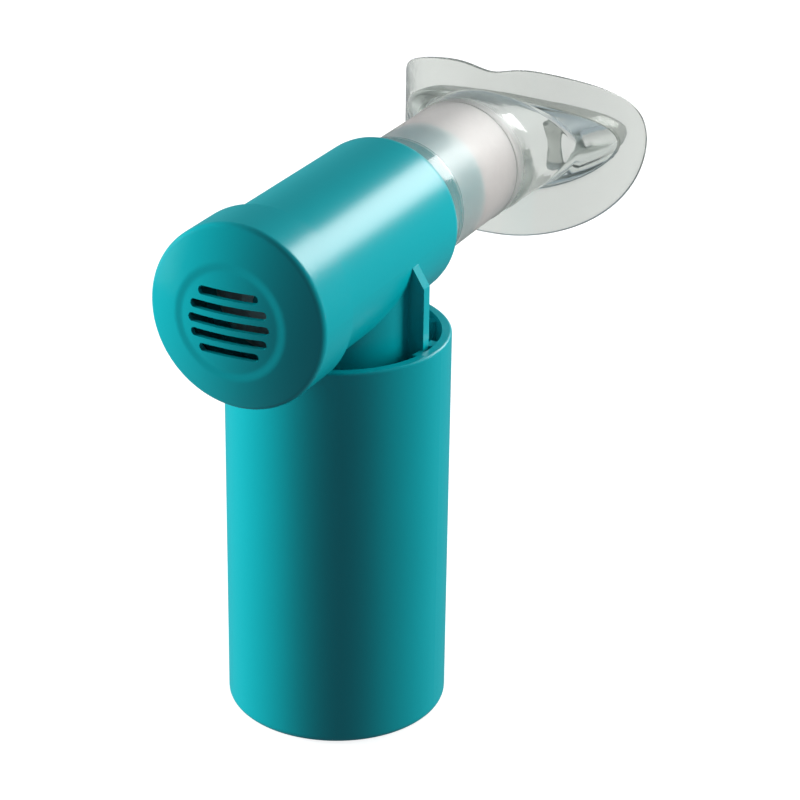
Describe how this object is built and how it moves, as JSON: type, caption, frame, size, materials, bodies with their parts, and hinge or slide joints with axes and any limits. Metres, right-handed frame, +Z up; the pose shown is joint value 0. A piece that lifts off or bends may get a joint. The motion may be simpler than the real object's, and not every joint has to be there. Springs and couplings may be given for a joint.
{
  "type": "breathing trainer",
  "caption": "Hand-held breathing trainer: T-shaped head with a slotted exhale cap and spring-loaded inlet valve, clear mouthpiece with a bite shield, and pull-off cylindrical handle cover.",
  "frame": {"origin": "centre of the handle cover's flat base", "axes": "+Z up along the handle's axis, +Y along the head's barrel towards the mouthpiece, +X to the right of someone who looks along +Y"},
  "size_m": [0.062, 0.1454, 0.1248],
  "materials": {
    "teal_plastic": "satin moulded",
    "deep_teal_plastic": "satin moulded",
    "white_plastic": "moulded",
    "grey_plastic": "moulded",
    "scale_white": "satin",
    "charcoal_plastic": "fine texture",
    "orange_plastic": "moulded",
    "steel": "drawn",
    "brass": "turned",
    "seal_rubber": "matt",
    "valve_silicone": "matt translucent",
    "clear_tube": "frosted clear",
    "clear_silicone": "clear"
  },
  "bodies": {
    "handle": {"handle_cover": "teal_plastic"},
    "head": {"head_shell": "teal_plastic", "mouthpiece_spigot": "deep_teal_plastic", "exhale_valve_seat": "deep_teal_plastic", "exhale_disc_retainer": "white_plastic", "exhale_cap_seal": "seal_rubber", "exhale_cap": "teal_plastic", "inlet_seat_gasket": "seal_rubber", "inlet_valve_seat": "white_plastic", "spring_housing": "grey_plastic", "load_scale": "scale_white", "spring_top_washer": "steel", "load_spring": "steel"},
    "exhale_disc": {"exhale_valve_disc": "valve_silicone"},
    "inlet_valve": {"inlet_poppet": "white_plastic", "poppet_seal": "valve_silicone", "load_spindle": "steel", "spindle_nut": "steel", "spindle_end_clip": "steel"},
    "pointer": {"load_pointer": "orange_plastic", "thrust_washer": "steel"},
    "knob": {"load_knob": "charcoal_plastic", "knob_thread_insert": "brass"},
    "mouthpiece": {"mouthpiece_tube": "clear_tube", "mouthpiece_flange": "clear_silicone", "bite_posts": "clear_silicone"}
  },
  "joints": [
    {"name": "head_lift", "type": "slide", "parent": "handle", "child": "head", "axis": [0, 0, 1], "range_m": [0, 0.085]},
    {"name": "exhale_valve_lift", "type": "slide", "parent": "head", "child": "exhale_disc", "axis": [0, -1, 0], "range_m": [0, 0.0015], "stiffness_N_per_m": 20},
    {"name": "inlet_valve_lift", "type": "slide", "parent": "head", "child": "inlet_valve", "axis": [0, 0, 1], "range_m": [0, 0.004], "stiffness_N_per_m": 250, "springref_m": -0.0016},
    {"name": "load_travel", "type": "slide", "parent": "inlet_valve", "child": "pointer", "axis": [0, 0, 1], "range_m": [0, 0.014], "deforming": ["load_spring"]},
    {"name": "load_turn", "type": "hinge", "parent": "pointer", "child": "knob", "pos_m": [0, 0, 0.014], "axis": [0, 0, 1], "range_deg": [0, 2520]},
    {"name": "mouthpiece_pull", "type": "slide", "parent": "head", "child": "mouthpiece", "axis": [0, 1, 0], "range_m": [0, 0.022]}
  ],
  "couplings": [
    {"joint": "load_travel", "follows": "load_turn", "m_per_rad": 0.0003183}
  ]
}
